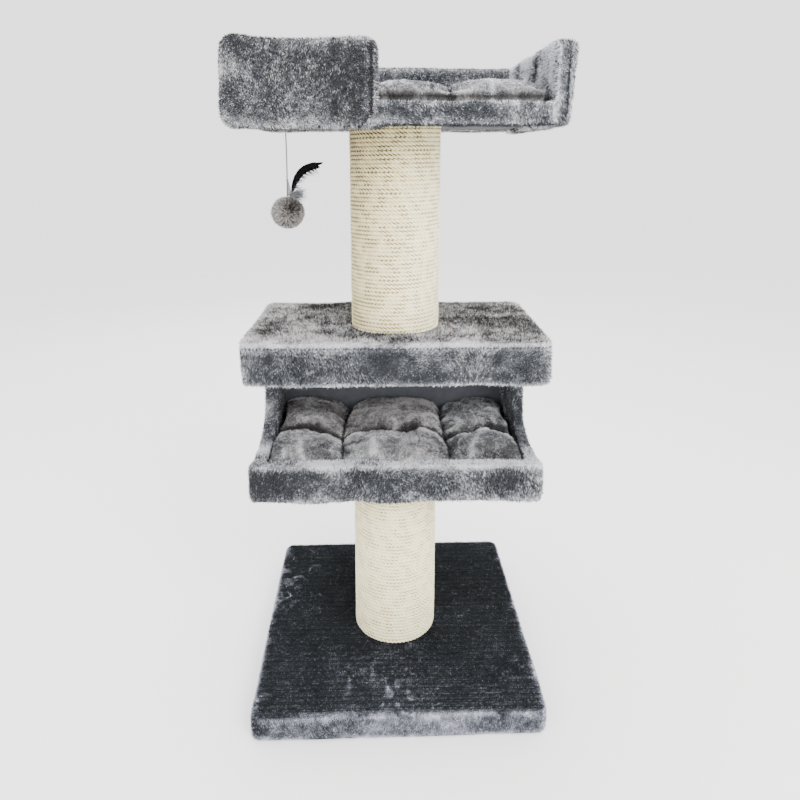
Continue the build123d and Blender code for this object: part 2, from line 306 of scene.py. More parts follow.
def add_pile(skin, body, slot, nap, spacing=2.0 * mm, length=5.2 * mm, width=0.95 * mm, tints="grey",
             lean=0.55, mottle=0.41, keep=None, ribs=0.0, warm=None, shorten=None):
    """Short tufts of pile over a skin, combed by a random field, in a few tints chosen by nap.

    keep(points, normals) is true where there is pile. ribs is the spacing of woven rows along X.
    mottle is how far a tuft's value strays from its place's. warm(points) is the share of taupe
    tufts, and shorten(points) scales their length. A large skin's pile is made in several pieces.
    """
    roots, facing, random = scatter(skin.data, spacing, len(skin.name))
    if keep:
        kept = keep(roots, facing)
        roots, facing = roots[kept], facing[kept]
    if ribs:
        flat = facing[:, 2] > 0.8
        rows = (np.round(roots[:, 1] / ribs) + random.normal(0, 0.10, len(roots))) * ribs
        roots[flat, 1] = rows[flat]
    swirl = np.stack([field(roots + k, 0.045) for k in (0.3, 0.7, 1.3)], axis=1)
    comb = swirl + np.array([0, -0.25, -0.65])
    comb -= facing * (comb * facing).sum(axis=1, keepdims=True)
    way = normalised(facing * 0.75 + comb * lean + random.normal(0, 0.22, roots.shape))
    reach = length * random.uniform(0.65, 1.15, len(roots))
    if shorten:
        reach *= shorten(roots)
    tips = roots + way * reach[:, None]
    value = nap(roots, facing) + 0.18 * other_field(roots, 3.5 * mm)
    value += random.uniform(-mottle, mottle, len(roots))
    value = np.clip(value, 0, 0.999)
    names = pile_tints[tints]
    tint = (value * len(names)).astype(int)
    if warm:
        names = names + pile_tints["taupe"]
        tint += len(pile_tints[tints]) * (random.random(len(roots)) < warm(roots))
    widths = width * random.uniform(0.7, 1.25, len(roots))
    roots -= facing * 0.4 * mm
    pieces = math.ceil(len(roots) / tufts_in_a_piece)
    for number, k in enumerate(np.array_split(np.arange(len(roots)), pieces)):
        tufts = spikes(f"{skin.name}_pile_{number}", roots[k], tips[k], widths[k], body,
                       [materials[name] for name in names], tint[k])
        smooth_shade(tufts.data)


def patches(points, size=0.05, seed_shift=0.0):
    """Brushed patches of nap: broad soft areas with small ragged flecks, from -1 to 1."""
    broad = field(points + seed_shift, size, (1.4, 1, 1))
    ragged = other_field(points + seed_shift, size * 0.32)
    flecks = field(points + seed_shift, 0.008)
    return 0.55 * broad + 0.35 * ragged + 0.2 * flecks


def near_edges(points, lo, hi, reach):
    """1 at the box's edges, falling to 0 away from them."""
    away = np.minimum(np.abs(points - lo), np.abs(points - hi))
    return np.exp(-(np.sort(away, axis=1)[:, 1] / reach) ** 2)


def round_corner(u, v, radius):
    """Pull points on a square corner onto a round one; u and v are measured inwards from it."""
    du, dv = np.maximum(radius - u, 0), np.maximum(radius - v, 0)
    reach = np.hypot(du, dv)
    scale = np.where((du > 0) & (dv > 0) & (reach > radius), radius / np.maximum(reach, 1e-9), 1)
    return np.where(scale < 1, radius - du * scale, u), np.where(scale < 1, radius - dv * scale, v)


def round_foot(x, z, half, foot, radius):
    """Round the two long lower corners of a box that is as wide as twice half and stands on foot."""
    u, v = round_corner(half - np.abs(x), z - foot, radius)
    return np.sign(x) * (half - u), foot + v


# ---------------------------------------------------------------- materials
def set_inputs(node, values):
    for name, value in values.items():
        node.inputs[name].default_value = value


def node_material(name, roughness, sheen=0.0, sheen_tint=(1, 1, 1, 1), sheen_roughness=0.5, metallic=0.0,
                  specular=0.5):
    material = bpy.data.materials.new(name)
    material.use_nodes = True
    tree = material.node_tree
    shader = tree.nodes["Principled BSDF"]
    set_inputs(shader, {
        "Roughness": roughness, "Metallic": metallic, "Specular IOR Level": specular, "Sheen Weight": sheen,
        "Sheen Roughness": sheen_roughness, "Sheen Tint": sheen_tint})
    return material, tree, shader


def noise_node(tree, coordinates, scale, detail, roughness, stretch=None):
    if stretch:
        mapping = tree.nodes.new("ShaderNodeMapping")
        mapping.inputs["Scale"].default_value = stretch
        tree.links.new(coordinates, mapping.inputs["Vector"])
        coordinates = mapping.outputs["Vector"]
    node = tree.nodes.new("ShaderNodeTexNoise")
    set_inputs(node, {"Scale": scale, "Detail": detail, "Roughness": roughness})
    tree.links.new(coordinates, node.inputs["Vector"])
    return node.outputs["Fac"]


def math_node(tree, operation, a, b):
    node = tree.nodes.new("ShaderNodeMath")
    node.operation = operation
    for socket, value in zip(node.inputs, (a, b)):
        if isinstance(value, (int, float)):
            socket.default_value = value
        else:
            tree.links.new(value, socket)
    return node.outputs[0]


def weighted_sum(tree, total, *terms):
    """The total plus each term's socket times its weight."""
    for socket, weight in terms:
        total = math_node(tree, "ADD", total, math_node(tree, "MULTIPLY", socket, weight))
    return total


def ramp_node(tree, factor, stops):
    node = tree.nodes.new("ShaderNodeValToRGB")
    elements = node.color_ramp.elements
    while len(elements) < len(stops):
        elements.new(0.5)
    for element, (position, colour) in zip(elements, stops):
        element.position = position
        element.color = (*colour, 1)
    tree.links.new(factor, node.inputs["Fac"])
    return node.outputs["Color"]


def bump_node(tree, shader, height, strength, distance):
    node = tree.nodes.new("ShaderNodeBump")
    set_inputs(node, {"Strength": strength, "Distance": distance})
    tree.links.new(height, node.inputs["Height"])
    tree.links.new(node.outputs["Normal"], shader.inputs["Normal"])


def coordinates_of(tree):
    return tree.nodes.new("ShaderNodeTexCoord").outputs["Object"]


def attribute_of(tree, name):
    node = tree.nodes.new("ShaderNodeAttribute")
    node.attribute_name = name
    return node.outputs["Fac"]


def plush_material(name, stops, rib=0.0, grain=520, sheen=0.35):
    """Short pile: nap value and fine fibres through a colour ramp, with optional woven ribs."""
    material, tree, shader = node_material(name, 0.92, sheen, (0.86, 0.9, 1.0, 1), 0.4,
                                           specular=0.1)
    where = coordinates_of(tree)
    fibres = noise_node(tree, where, grain, 3, 0.7)
    tufts = noise_node(tree, where, grain * 0.36, 2, 0.6)
    height = weighted_sum(tree, -0.65, (fibres, 0.75), (tufts, 0.55))
    value = math_node(tree, "ADD", attribute_of(tree, "nap"), height)
    if rib:
        wave = tree.nodes.new("ShaderNodeTexWave")
        wave.bands_direction = "Y"
        set_inputs(wave, {"Scale": rib, "Distortion": 1.2, "Detail": 2, "Detail Scale": 9})
        tree.links.new(where, wave.inputs["Vector"])
        ribs = weighted_sum(tree, -0.08, (wave.outputs["Fac"], 0.16))
        value = math_node(tree, "ADD", value, ribs)
        height = math_node(tree, "ADD", height, ribs)
    tree.links.new(ramp_node(tree, value, stops), shader.inputs["Base Color"])
    bump_node(tree, shader, height, 0.55, 0.004)
    return material


def grained_material(name, dark, light, grain, detail=4, coarseness=0.7, stretch=None, strength=0.5,
                     distance=0.002, **look):
    """Two colours mixed by a fine noise, which is the relief as well; look is node_material's settings."""
    material, tree, shader = node_material(name, **look)
    grains = noise_node(tree, coordinates_of(tree), grain, detail, coarseness, stretch)
    tree.links.new(ramp_node(tree, grains, [(0.3, dark), (0.7, light)]), shader.inputs["Base Color"])
    bump_node(tree, shader, grains, strength, distance)
    return material


def sisal_material(name):
    material, tree, shader = node_material(name, 0.85, 0.15, (1, 0.97, 0.88, 1))
    where = coordinates_of(tree)
    fibres = noise_node(tree, where, 420, 3, 0.7, (1, 1, 2.5))
    # tone holds each strand's own tone less the painted shade, and nap the painted shade in the creases and
    # gaps
    value = weighted_sum(tree, 0.0, (fibres, 0.26), (attribute_of(tree, "tone"), 0.20),
                         (attribute_of(tree, "nap"), 0.62))
    stops = [(0.12, (0.018, 0.013, 0.006)), (0.36, (0.25, 0.19, 0.08)), (0.62, (0.72, 0.61, 0.32)),
             (0.90, (0.97, 0.91, 0.64))]
    tree.links.new(ramp_node(tree, value, stops), shader.inputs["Base Color"])
    bump_node(tree, shader, fibres, 0.4, 0.001)
    return material


pile_tints = {family: [f"pile_{family}_{step}" for step in range(6)]
              for family in ("grey", "taupe", "slate")}


def make_pile_materials():
    """Six tints for each colour of pile, from dark to light."""
    ends = {
        "grey": ((0.011, 0.012, 0.014), (0.65, 0.66, 0.70), 0.20),
        "taupe": ((0.016, 0.013, 0.011), (0.60, 0.565, 0.54), 0.18),
        "slate": ((0.003, 0.0038, 0.005), (0.46, 0.47, 0.56), 0.05),
    }
    made = {}
    for family, (dark, light, sheen) in ends.items():
        for step, name in enumerate(pile_tints[family]):
            share = (step / (len(pile_tints[family]) - 1)) ** 1.9
            colour = [d + (l - d) * share for d, l in zip(dark, light)]
            made[name], _, shader = node_material(name, 0.8, sheen, (0.9, 0.93, 1.0, 1), 0.4, specular=0.12)
            shader.inputs["Base Color"].default_value = (*colour, 1)
    return made


def make_materials():
    cloth = dict(roughness=0.9, sheen=0.3)
    board = dict(roughness=0.7, detail=5, coarseness=0.65, strength=0.15, distance=0.001)
    polished = dict(roughness=0.35, metallic=1.0, detail=3, coarseness=0.6, stretch=(1, 1, 6), strength=0.1,
                    distance=0.0003)
    grey = [(0.0, (0.022, 0.024, 0.028)), (0.35, (0.07, 0.075, 0.085)), (0.6, (0.19, 0.195, 0.21)),
            (0.85, (0.42, 0.43, 0.46)), (1.0, (0.62, 0.63, 0.68))]
    slate = [(0.0, (0.003, 0.004, 0.005)), (0.35, (0.014, 0.017, 0.020)), (0.6, (0.07, 0.075, 0.09)),
             (0.85, (0.25, 0.26, 0.30)), (1.0, (0.5, 0.51, 0.57))]
    taupe = [(0.0, (0.016, 0.015, 0.015)), (0.35, (0.068, 0.066, 0.066)), (0.6, (0.19, 0.187, 0.187)),
             (0.85, (0.41, 0.405, 0.41)), (1.0, (0.59, 0.585, 0.59))]
    made = make_pile_materials() | {
        "plush": plush_material("plush", grey),
        "base_plush": plush_material("base_plush", slate, rib=23.0, grain=480, sheen=0.04),
        "cushion_plush": plush_material("cushion_plush", taupe, grain=420),
        "sisal": sisal_material("sisal"),
    }
    for name, dark, light, grain, look in (
            ("sisal_fibre", (0.6, 0.5, 0.32), (0.85, 0.78, 0.6), 200, cloth),
            ("cord", (0.04, 0.04, 0.045), (0.14, 0.14, 0.15), 900, cloth),
            ("ribbon", (0.15, 0.147, 0.17), (0.27, 0.265, 0.30), 700, cloth | dict(roughness=0.5)),
            ("pompom", (0.10, 0.095, 0.095), (0.5, 0.48, 0.48), 170, cloth),
            ("black_feather", (0.001, 0.001, 0.001), (0.003, 0.003, 0.004), 600,
             dict(roughness=0.6, specular=0.06)),
            ("fluff", (0.12, 0.12, 0.125), (0.42, 0.42, 0.44), 500, cloth),
            ("cardboard", (0.32, 0.22, 0.12), (0.5, 0.37, 0.23), 90, board),
            ("chipboard", (0.38, 0.26, 0.14), (0.72, 0.57, 0.38), 260, board),
            ("grey_board", (0.085, 0.09, 0.10), (0.11, 0.115, 0.13), 60,
             board | dict(roughness=0.55, specular=0.2)),
            # painted shade: the darker board for the bed's floor board, whose underside lies in shadow
            ("dark_board", (0.018, 0.020, 0.022), (0.030, 0.033, 0.036), 60,
             board | dict(roughness=0.6, specular=0.1)),
            ("plywood", (0.5, 0.36, 0.2), (0.75, 0.6, 0.4), 70, board | dict(stretch=(1, 6, 1))),
            ("steel", (0.5, 0.5, 0.52), (0.68, 0.68, 0.69), 300, polished)):
        made[name] = grained_material(name, dark, light, grain, **look)
    return made


def dress_cad_nodes():
    """Give every CAD node its slot's material. The bed's floor board gets the darker board, a painted
    shadow for its shaded underside.
    """
    for part in frame["record"]["subparts"]:
        obj = bpy.data.objects[part["node"]]
        # painted shadow: the bed's floor board gets the darker board because its underside lies in shade
        name = "dark_board" if part["node"] == "bed_floor_board" else part["material_slot"]
        for slot in obj.material_slots:
            slot.link = "OBJECT"
            slot.material = materials[name]


# ---------------------------------------------------------------- base
def make_base():
    lo, hi = np.array(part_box("base_cover"))
    rib, turn = 5.2 * mm, 0.013      # spacing of the woven ribs; the base sits a little askew

    def nap(points, normals):
        upward = unit(normals[:, 2])
        x, y, z = points.T
        margin = np.minimum.reduce([x - lo[0], hi[0] - x, (y - lo[1]) * 0.55])
        where = np.exp(-(margin / (60 * mm)) ** 2) * unit(0.4 + field(points, 0.07))
        flecks = unit(1.6 * other_field(points, 0.009) + 0.8 * field(points, 0.017) - 0.6)
        creases = unit(1 - np.abs(other_field(points, 0.035, (1, 0.6, 1))) * 9) \
            * unit(field(points, 0.022) * 1.5)
        groove = 0.5 - 0.5 * np.cos(2 * np.pi * y / rib)
        front = unit(1 - (y - lo[1]) / (300 * mm))
        top = 0.10 + 0.09 * patches(points, 0.07) + 0.07 * groove + 0.17 * front \
            + 0.32 * flecks * where + 0.50 * creases * (0.35 + where)
        # painted highlight: the plush is lighter along the box's edges
        edge = near_edges(points, lo, hi, 8 * mm) * np.clip(0.8 + 0.9 * other_field(points, 0.03), 0, 1.4)
        corner = line_at(hi[0] - np.abs(x), 2 * mm, 16 * mm) * line_at(np.abs(y), hi[1], 16 * mm)
        side = 0.66 + 0.26 * patches(points, 0.045, 1.1) - 0.45 * corner
        return side + (top - side) * upward ** 2 + 0.30 * edge

    def warp(points):
        c, s = math.cos(turn), math.sin(turn)
        x, y, z = points.T
        return stacked(c * x - s * y, s * x + c * y, np.maximum(z, 0))

    bm = bmesh.new()
    add_box(bm, lo, hi, 17 * mm)
    plush("base_plush", bm, ["base_cover"], nap, "base_plush", voxel=3.4 * mm, soften=8, relief=0.4,
          warp=warp, pile=dict(
              spacing=2.3 * mm, length=3.2 * mm, width=0.8 * mm, tints="slate", mottle=0.10, ribs=rib,
              keep=lambda points, normals: points[:, 2] > 5 * mm))


# ---------------------------------------------------------------- posts
def make_post(name, node, seed, shade, gaps):
    """A three-strand rope wound round the post, as closed skins with the rope's own relief.

    shade(x, z) is how much darker the sisal is painted, with x from -1 to 1 and z from 0 to 1: a constant
    tone plus painted shade. gaps is how dark the painted shade in the small gaps between the strands is.
    """
    lo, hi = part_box(node)
    outer, rope = (hi[0] - lo[0]) / 2, 7 * mm
    lay = 3.2 * rope                          # length of one twist of the three strands
    row_depth, strand_depth, looseness = 3.4 * mm, 1.3 * mm, 0.3 * mm
    around, per_row, pieces = 480, 8, 3
    turns = (hi[2] - lo[2]) / rope
    for piece in range(pieces):
        rows = int(turns * per_row / pieces)
        a, t = np.meshgrid(np.linspace(0, 2 * np.pi, around, endpoint=False),
                           np.linspace(piece / pieces, (piece + 1) / pieces, rows + 1))
        z = lo[2] + t * (hi[2] - lo[2])
        winding = t * turns - a / (2 * np.pi)
        row = np.floor(winding)
        across = np.clip((winding - row - 0.5) * 2, -0.999, 0.999)
        along = (row * 2 * np.pi + a) * outer + 0.8 * mm * np.sin(row * 2.4 + seed)
        roll = np.arcsin(across)
        twist = 1.5 * (0.9 * roll + 2 * np.pi * along / lay)
        strand = np.abs(np.cos(twist)) ** 0.7
        where = np.stack([outer * np.cos(a), outer * np.sin(a), z], -1).reshape(-1, 3)
        loose = field(where + seed, 0.02).reshape(a.shape)
        bulge = 0.35 + 0.65 * np.cos(roll)
        crease, seam = 1 - strand, 1 - np.cos(roll)
        r = outer - row_depth * (1 - bulge) - strand_depth * crease * (1 - 0.5 * seam) + looseness * loose
        verts = np.stack([r * np.cos(a), r * np.sin(a), z], axis=-1).reshape(-1, 3)
        i, j = np.meshgrid(np.arange(rows), np.arange(around), indexing="ij")
        i, j, k = i.ravel(), j.ravel(), (j.ravel() + 1) % around
        low, high = i * around, (i + 1) * around
        faces = stacked(low + j, low + k, high + k, high + j).tolist()
        faces.append(list(range(around))[::-1])
        faces.append(list(range(rows * around, (rows + 1) * around)))
        mesh = bpy.data.meshes.new(name)
        mesh.from_pydata(verts.tolist(), [], faces)
        # Painted shade: darker in the strands' creases, along the seams between the rows and most of all in
        # the small gaps where they meet; uneven_gap_shade varies how dark the gaps are.
        uneven_gap_shade = unit(0.5 + 1.4 * other_field(where, 0.012)).reshape(a.shape)
        dots = (crease * seam) ** 0.8 * (0.45 + 1.35 * uneven_gap_shade)
        nap = 1.0 - 0.40 * crease - 0.24 * seam ** 1.5 - gaps * dots ** 1.4
        store(mesh, "nap", unit(nap).ravel())
        # Each strand's own random tone, less the painted shade that shade(x, z) gives.
        number = np.floor(twist / np.pi + 0.5) + 57 * row
        own = np.sin(number * 12.9898 + seed) * 43758.5453
        tone = (own - np.floor(own)) * 0.55 - shade(np.cos(a), t)
        store(mesh, "tone", tone.ravel())
        smooth_shade(mesh)
        mesh.materials.append(materials["sisal"])
        obj = add_object(f"{name}_{piece}", mesh, "tree")
        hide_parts(node)
    stray_fibres(name + "_fibres", lo, hi, outer, seed)


def stray_fibres(name, lo, hi, outer, seed):
    """Loose sisal hairs that stand off the rope."""
    random = np.random.default_rng(int(seed * 10))
    count = 260
    a = random.uniform(0, 2 * np.pi, count)
    z = random.uniform(lo[2] + 6 * mm, hi[2] - 6 * mm, count)
    facing = stacked(np.cos(a), np.sin(a), 0 * a)
    tangent = stacked(-np.sin(a), np.cos(a), 0 * a)
    roots = facing * (outer - 1 * mm) + stacked(0 * a, 0 * a, z)
    way = facing * random.uniform(0.15, 0.7, (count, 1)) + tangent * random.normal(0, 0.8, (count, 1))
    way[:, 2] += random.normal(0, 0.5, count)
    tips = roots + normalised(way) * random.uniform(3, 10, (count, 1)) * mm
    spikes(name, roots, tips, np.full(count, 0.16 * mm), "tree", [materials["sisal_fibre"]])


# ---------------------------------------------------------------- house
def make_house():
    front_lo, front_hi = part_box("condo_front_cover")
    back_lo, back_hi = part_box("condo_back_cover")
    right_lo, right_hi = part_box("condo_right_cover")
    thick = right_hi[0] - right_lo[0]
    jamb, sweep = 35 * mm, 74 * mm       # where the tall walls begin, and the radius up to them
    lip = front_hi[2]
    top = right_hi[2] + 6 * mm
    centre_y, centre_z = jamb - sweep, lip + sweep
    arc = [(centre_y + sweep * math.sin(t), centre_z - sweep * math.cos(t))
           for t in np.linspace(0, math.pi / 2, 12)]
    outline = [(front_lo[1] + 6 * mm, right_lo[2]), (front_lo[1] + 6 * mm, lip)] + arc
    outline += [(jamb, top), (right_hi[1], top), (right_hi[1], right_lo[2])]
    bm = bmesh.new()
    add_box(bm, front_lo, front_hi, 8 * mm, along=1)
    for side in (-1, 1):
        inner, outer = side * (right_hi[0] - thick), side * right_hi[0]
        add_prism(bm, outline, min(inner, outer), max(inner, outer))
    add_box(bm, (front_lo[0] + 6 * mm, back_hi[1] - 8 * mm, right_lo[2]),
            (front_hi[0] - 6 * mm, back_hi[1], top))
    bmesh.ops.recalc_face_normals(bm, faces=bm.faces)

    def nap(points, normals):
        z = points[:, 2]
        upward = unit(normals[:, 2])
        inside = (np.abs(points[:, 0]) < right_lo[0] + 4 * mm) & (points[:, 1] > front_hi[1])
        # painted shade: a little darker inside the house
        value = 0.20 + 0.38 * patches(points, 0.045) - 0.02 * inside
        tray_foot_highlight = line_at(z, front_lo[2], 11 * mm)
        rim = line_at(z, lip, 10 * mm) * falling(points[:, 1], jamb - sweep, 8 * mm)
        corner = line_at(np.abs(points[:, 0]), front_hi[0], 8 * mm)
        # painted highlights along the rim, the lower edge and the side corners, and painted light on the
        # tops
        return value + 0.60 * rim + 0.30 * tray_foot_highlight + 0.18 * corner * (1 - rim) + 0.10 * upward

    def warp(points):
        """The tray's wall is full and round; the tall walls above it are trim."""
        x, y, z = points.T
        low = falling(z, lip + 12 * mm, 5 * mm)
        out = np.abs(x) > right_lo[0] + 10 * mm
        wide = np.abs(x) + out * low * 2.5 * mm
        hang = 4.5 * mm * np.exp(-np.maximum(z - front_lo[2], 0) / (14 * mm)) \
            * falling(y, front_hi[1] + 20 * mm, 8 * mm)
        x, z = round_foot(np.sign(x) * wide, z, front_hi[0], front_lo[2], 12 * mm)
        return stacked(x, y, z - hang)

    def shorten(points):
        inside = (np.abs(points[:, 0]) < right_lo[0] + 3 * mm) & (points[:, 1] > front_hi[1] - 3 * mm) \
            & (points[:, 1] < back_lo[1])
        return np.where(inside, 0.6, 1.0)

    plush("house_plush", bm,
          ["condo_front_cover", "condo_left_cover", "condo_right_cover", "condo_back_cover"], nap, soften=9,
          inset=1.5 * mm, warp=warp, pile=dict(
              spacing=2.1 * mm, shorten=shorten,
              keep=lambda points, normals: (points[:, 2] < right_hi[2] + 2 * mm)
              & (normals[:, 2] > -0.8)))


def make_roof():
    lo, hi = np.array(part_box("roof_cover"))
    row_drop, hole_pitch = 9.5 * mm, 6.2 * mm      # the stitching below the top edge
    post_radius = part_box("upper_post_rope")[1][0]

    def stitches(points, normals):
        """1 at the needle holes along the front and the sides, 0 elsewhere."""
        along = np.where(np.abs(normals[:, 1]) > 0.6, points[:, 0], points[:, 1])
        beat = np.abs(((along / hole_pitch) % 1) - 0.5) * hole_pitch
        return line_at(points[:, 2], hi[2] - row_drop, 1.3 * mm) * line_at(beat, 0, 1.5 * mm) \
            * (np.abs(normals[:, 2]) < 0.7)

    def nap(points, normals):
        upward = unit(normals[:, 2])
        x, y, z = points.T
        # painted light: the top is lighter than the faces, and lighter again on its left, the right lying
        # in the post's shade
        left = 0.12 * falling(x, 0, 60 * mm)
        value = 0.27 + 0.34 * patches(points, 0.05, 1.7)
        value += upward * (0.14 + left + 0.28 * patches(points, 0.03))
        # painted highlights along the band under the top edge, the lower edge and the box's edges; lighter
        # near the top's front edge and towards both ends
        band = line_at(z, hi[2] - 3 * mm, 11 * mm) * (1 - upward)
        roof_foot_highlight = line_at(z, lo[2], 7 * mm)
        top_near_front = unit(1 - (y - lo[1]) / (45 * mm)) * upward
        ends = line_at(np.abs(x), hi[0], 16 * mm)
        return value + 0.56 * band + 0.45 * roof_foot_highlight + 0.14 * near_edges(points, lo, hi, 9 * mm) \
            + 0.18 * top_near_front + 0.16 * ends - 0.9 * stitches(points, normals)

    def warp(points):
        x, y, z = points.T
        x, z = round_foot(x, z, hi[0], lo[2], 10 * mm)
        return stacked(x, y, z)

    bm = bmesh.new()
    add_box(bm, lo, hi, 16 * mm)
    plush("roof_plush", bm, ["roof_cover"], nap, warp=warp, pile=dict(
              spacing=2.2 * mm, mottle=0.35, warm=lambda points: 0.6 * (points[:, 2] > hi[2] - 4 * mm),
              keep=lambda points, normals: (normals[:, 2] > -0.7)
              & (np.hypot(points[:, 0], points[:, 1]) > post_radius - 1 * mm)))


# ---------------------------------------------------------------- bed
bed_inset = 2.0 * mm         # the bed's skins stay this far inside, and the pile fills it up


def bed_nap(lo, hi, tone, reach, seam=None, contrast=0.24):
    """Patchy nap with a painted highlight along the box's edges, and dark along the seam."""
    def nap(points, normals):
        value = tone + contrast * patches(points, 0.05, 0.7) + 0.34 * near_edges(points, lo, hi, reach)
        return value - (seam(points) if seam else 0)
    return nap


def make_bed_panel():
    """The tall panel at the front."""
    lo, hi = np.array(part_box("bed_front_panel_cover"))
    band = 9.5 * mm
    middle, half = (lo[0] + hi[0]) / 2, (hi[0] - lo[0]) / 2

    def seam(points):
        """A seam beside the panel's free end, which turns inwards near its foot."""
        x, y, z = points.T
        bow = unit((lo[2] + 26 * mm - z) / (26 * mm))
        place = hi[0] - band - 22 * mm * bow ** 2
        return line_at(x, place, 1.8 * mm) * (z < hi[2] - 8 * mm)

    def warp(points):
        """The top edge sags between its two ears."""
        x, y, z = points.T
        u = np.clip((x - middle) / half, -1, 1)
        raised = unit((z - lo[2]) / (hi[2] - lo[2])) ** 3
        sag = 4.0 * mm * unit(1 - u ** 2) - 2.5 * mm * line_at(u, -0.80, 0.15)
        wide = 3 * mm * unit(-u) * (1 - raised)
        return stacked(x - wide, y, z - raised * sag)

    bm = bmesh.new()
    add_box(bm, lo, hi, 19 * mm, along=1)
    plush("bed_front_panel_plush", bm, ["bed_front_panel_cover"],
          bed_nap(lo, hi, 0.205, 13 * mm, seam, 0.36), inset=bed_inset, relief=0.7, warp=warp,
          pile=dict(spacing=1.9 * mm, width=1.0 * mm, mottle=0.38, warm=lambda points: 0.25))


def make_bed_walls():
    """The left wall and the back wall."""
    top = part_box("bed_back_cover")[1][2]

    def back_warp(points):
        """The back wall's top is fuller towards the left."""
        x, y, z = points.T
        rise = 4 * mm * falling(x, 60 * mm, 25 * mm)
        return stacked(x, y, z + rise * unit((z - top + 62 * mm) / (60 * mm)))

    for part, tone in (("left", 0.30), ("back", 0.36)):
        node = f"bed_{part}_cover"
        lo, hi = np.array(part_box(node))
        grow = np.array([5 * mm if part == "back" else 0, 0, 0])
        bm = bmesh.new()
        add_box(bm, lo - grow, hi + grow)
        plush(f"bed_{part}_plush", bm, [node], bed_nap(lo, hi, tone, 8 * mm),
              inset=bed_inset, warp=back_warp if part == "back" else None, pile=dict(spacing=2.2 * mm))


def make_bed_wing():
    """The right wall and the low front wall, which share one skin."""
    lip_lo, lip_hi = np.array(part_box("bed_front_lip_cover"))
    wing_lo, wing_hi = np.array(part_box("bed_right_cover"))

    def seams(points, normals):
        """The seam down the wing's front end, and a painted shade line along the crease on its inner face.
        """
        x, y, z = points.T
        turn = unit((wing_lo[2] + 24 * mm - z) / (24 * mm))
        place = wing_hi[0] - 7.5 * mm - 14 * mm * turn ** 2
        end = line_at(x, place, 1.3 * mm) * (y < wing_lo[1] + 8 * mm) * (z < wing_hi[2] - 10 * mm)
        crease = line_at(y, -10 * mm, 2.2 * mm) * (normals[:, 0] < -0.6) * (x > lip_hi[0] - 8 * mm)
        return end + 0.35 * crease

    def nap(points, normals):
        # painted light: the inner face and the front end are lighter where they face the light
        inward = unit(-normals[:, 0]) * (points[:, 0] > lip_hi[0] - 8 * mm)
        front_end = unit(-normals[:, 1]) * (points[:, 0] > lip_hi[0] - 2 * mm)
        value = 0.25 + 0.44 * inward + 0.20 * front_end
        value += (0.34 + 0.3 * inward) * patches(points, 0.035, 2.2)
        # painted highlights along the lip's top and the box's edges, and painted shade on the underside
        rim = line_at(points[:, 2], lip_hi[2], 6 * mm) * (points[:, 0] < lip_hi[0])
        beneath = unit(-normals[:, 2]) * (points[:, 0] < lip_hi[0])
        return value + 0.28 * near_edges(points, wing_lo, wing_hi, 9 * mm) + 0.22 * rim - 0.6 * beneath \
            - seams(points, normals)

    def warp(points):
        """The wing's front end is round, droops at its top corner and swells outwards."""
        x, y, z = points.T
        wing = x > lip_hi[0] - 2 * mm
        front = unit((wing_lo[1] + 70 * mm - y) / (70 * mm)) * wing
        u, v = round_corner(wing_hi[0] - x, wing_hi[2] - z, 13 * mm)
        u, w = round_corner(u, wing_hi[2] - v - wing_lo[2], 13 * mm)
        z = wing_lo[2] + w
        inner, v = round_corner(wing_hi[0] - u - wing_lo[0], wing_hi[2] - z, 8 * mm)
        x, z = np.where(wing, wing_lo[0] + inner, x), np.where(wing, wing_hi[2] - v, z)
        raised = unit((z - wing_lo[2]) / (wing_hi[2] - wing_lo[2]))
        outer = unit((x - wing_lo[0]) / (wing_hi[0] - wing_lo[0]))
        swell, droop = 7 * mm * front * raised * outer, 5.5 * mm * front * raised ** 2
        return stacked(x + swell, y, z - droop)

    bm = bmesh.new()
    add_box(bm, wing_lo, wing_hi, 16 * mm, along=0)
    add_box(bm, (wing_lo[0], 0, wing_lo[2]), wing_hi)
    add_box(bm, (lip_lo[0] - 9 * mm, lip_lo[1] + 1 * mm, lip_lo[2]),
            (wing_lo[0] + 5 * mm, lip_hi[1], lip_hi[2]))
    add_box(bm, (lip_lo[0] - 17 * mm, lip_lo[1] - 1 * mm, lip_lo[2] - 3 * mm),
            (lip_lo[0] + 2 * mm, lip_hi[1], lip_lo[2] + 16 * mm))     # over the tall board's square corner
    plush("bed_wing_plush", bm, ["bed_right_cover", "bed_front_lip_cover"], nap,
          inset=bed_inset, warp=warp, pile=dict(spacing=2.1 * mm))


def make_floor_plush():
    """The thin plush on the two floors, under the cushions."""
    for part in ("bed", "condo"):
        node = f"{part}_floor_cover"
        lo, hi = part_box(node)
        bm = bmesh.new()
        add_box(bm, lo, hi)
        plush(f"{part}_floor_plush", bm, [node],
              lambda points, normals: 0.34 + 0.25 * patches(points),
              voxel=3.6 * mm, soften=2, relief=0.35)


# ---------------------------------------------------------------- cushions
def pad_mesh(name, gx, gy, top_z, bottom_z, on_rim):
    """A closed pad on a grid: a top and a bottom sheet that share the points of the rim."""
    top = np.stack([gx, gy, top_z], -1).reshape(-1, 3)
    bottom = np.stack([gx, gy, bottom_z], -1).reshape(-1, 3)
    count = len(top)
    below = np.where(on_rim, np.arange(count), count + np.cumsum(~on_rim) - 1)
    verts = np.concatenate([top, bottom[~on_rim]])
    rows, columns = gx.shape
    faces = []
    for first in (j * columns + i for j in range(rows - 1) for i in range(columns - 1)):
        corners = (first, first + 1, first + columns + 1, first + columns)
        faces.append(corners)
        faces.append(tuple(int(below[k]) for k in reversed(corners)))
    mesh = bpy.data.meshes.new(name)
    mesh.from_pydata(verts.tolist(), [], faces)
    return mesh, verts


